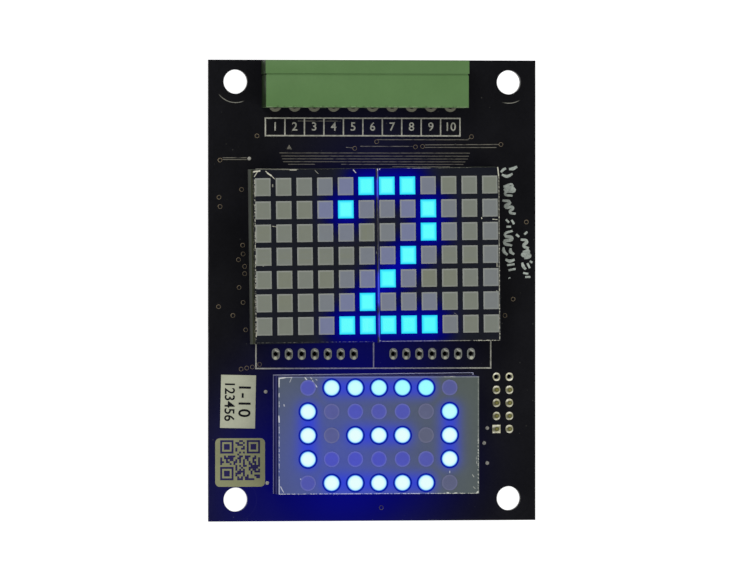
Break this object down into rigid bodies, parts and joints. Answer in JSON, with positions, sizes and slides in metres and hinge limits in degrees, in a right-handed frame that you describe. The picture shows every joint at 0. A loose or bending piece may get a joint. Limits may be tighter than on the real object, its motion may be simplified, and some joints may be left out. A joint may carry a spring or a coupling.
{
  "type": "led dot matrix display",
  "caption": "Black circuit board with two square-cell LED matrix modules side by side, a round-dot module below, and a green right-angle terminal header.",
  "frame": {"origin": "centre of the four mounting holes at the rear face of the circuit board", "axes": "+Z out of the display faces, +Y towards the terminal header, +X to the right seen from the front"},
  "size_m": [0.064, 0.0896, 0.0182],
  "materials": {
    "solder_mask": "black solder mask, semi-gloss",
    "via_copper": "small gold-toned rings",
    "tinned_pads": "tinned copper",
    "spare_pad_tin": "hot-air levelled tin, lumpy highlights",
    "port_pad_tin": "tin over gold, slightly yellow",
    "white_ink": "thin white legend ink",
    "green_plastic": "moulded polyamide",
    "tinned_pins": "tin plate",
    "gold_pins": "thin gold plate",
    "solder": "bright solder",
    "black_plastic": "moulded black plastic",
    "cream_paper": "matt paper",
    "grey_label": "matt label stock",
    "label_ink": "dark print",
    "marker_ink": "thin white marker",
    "black_module_face": "black ink over pale plastic, worn at the edges",
    "grey_module_face": "grey ink over pale plastic, worn at the edges",
    "lit_cell_resin": "lit diffusing resin, cyan",
    "dark_cell_resin": "unlit diffusing resin, grey",
    "lit_dot_resin": "lit diffusing resin, pale blue-white",
    "dark_dot_resin": "unlit diffusing resin",
    "module_laminate": "glass-epoxy laminate",
    "led_chips": "LED die",
    "chip_epoxy": "moulded epoxy",
    "tinned_leads": "tin plate",
    "crystal_steel": "drawn metal can",
    "can_aluminium": "drawn aluminium",
    "ferrite": "ferrite and epoxy",
    "resistor_film": "glazed resistor",
    "capacitor_ceramic": "tan ceramic"
  },
  "bodies": {
    "root": {"circuit_board": "solder_mask", "vias": "via_copper", "terminal_pads": "tinned_pads", "matrix_pads": "tinned_pads", "spare_pads": "spare_pad_tin", "port_pads": "port_pad_tin", "board_print": "white_ink", "terminal_housing": "green_plastic", "terminal_pins": "tinned_pins", "terminal_solder": "solder", "left_matrix_housing": "black_module_face", "left_matrix_lit_cells": "lit_cell_resin", "left_matrix_dark_cells": "dark_cell_resin", "left_matrix_circuit": "module_laminate", "left_matrix_chips": "led_chips", "left_matrix_pins": "tinned_pins", "right_matrix_housing": "black_module_face", "right_matrix_lit_cells": "lit_cell_resin", "right_matrix_dark_cells": "dark_cell_resin", "right_matrix_circuit": "module_laminate", "right_matrix_chips": "led_chips", "right_matrix_pins": "tinned_pins", "lower_matrix_housing": "grey_module_face", "lower_matrix_lit_dots": "lit_dot_resin", "lower_matrix_dark_dots": "dark_dot_resin", "lower_matrix_circuit": "module_laminate", "lower_matrix_chips": "led_chips", "lower_matrix_pins": "tinned_pins", "matrix_solder": "solder", "port_base": "black_plastic", "port_pins": "gold_pins", "port_solder": "solder", "paper_label": "cream_paper", "paper_label_print": "label_ink", "square_label": "grey_label", "square_label_print": "label_ink", "marker_strokes": "marker_ink", "controller_body": "chip_epoxy", "controller_leads": "tinned_leads", "driver_bodies": "chip_epoxy", "driver_leads": "tinned_leads", "small_chip_bodies": "chip_epoxy", "small_chip_leads": "tinned_leads", "transistor_bodies": "chip_epoxy", "transistor_leads": "tinned_leads", "crystal_can": "crystal_steel", "crystal_base": "black_plastic", "crystal_tabs": "tinned_leads", "capacitor_cans": "can_aluminium", "capacitor_bases": "black_plastic", "capacitor_tabs": "tinned_leads", "inductor_core": "ferrite", "inductor_tabs": "tinned_leads", "diode_body": "chip_epoxy", "diode_tabs": "tinned_leads", "chip_resistors": "resistor_film", "chip_capacitors": "capacitor_ceramic", "chip_caps": "tinned_leads"}
  },
  "joints": []
}
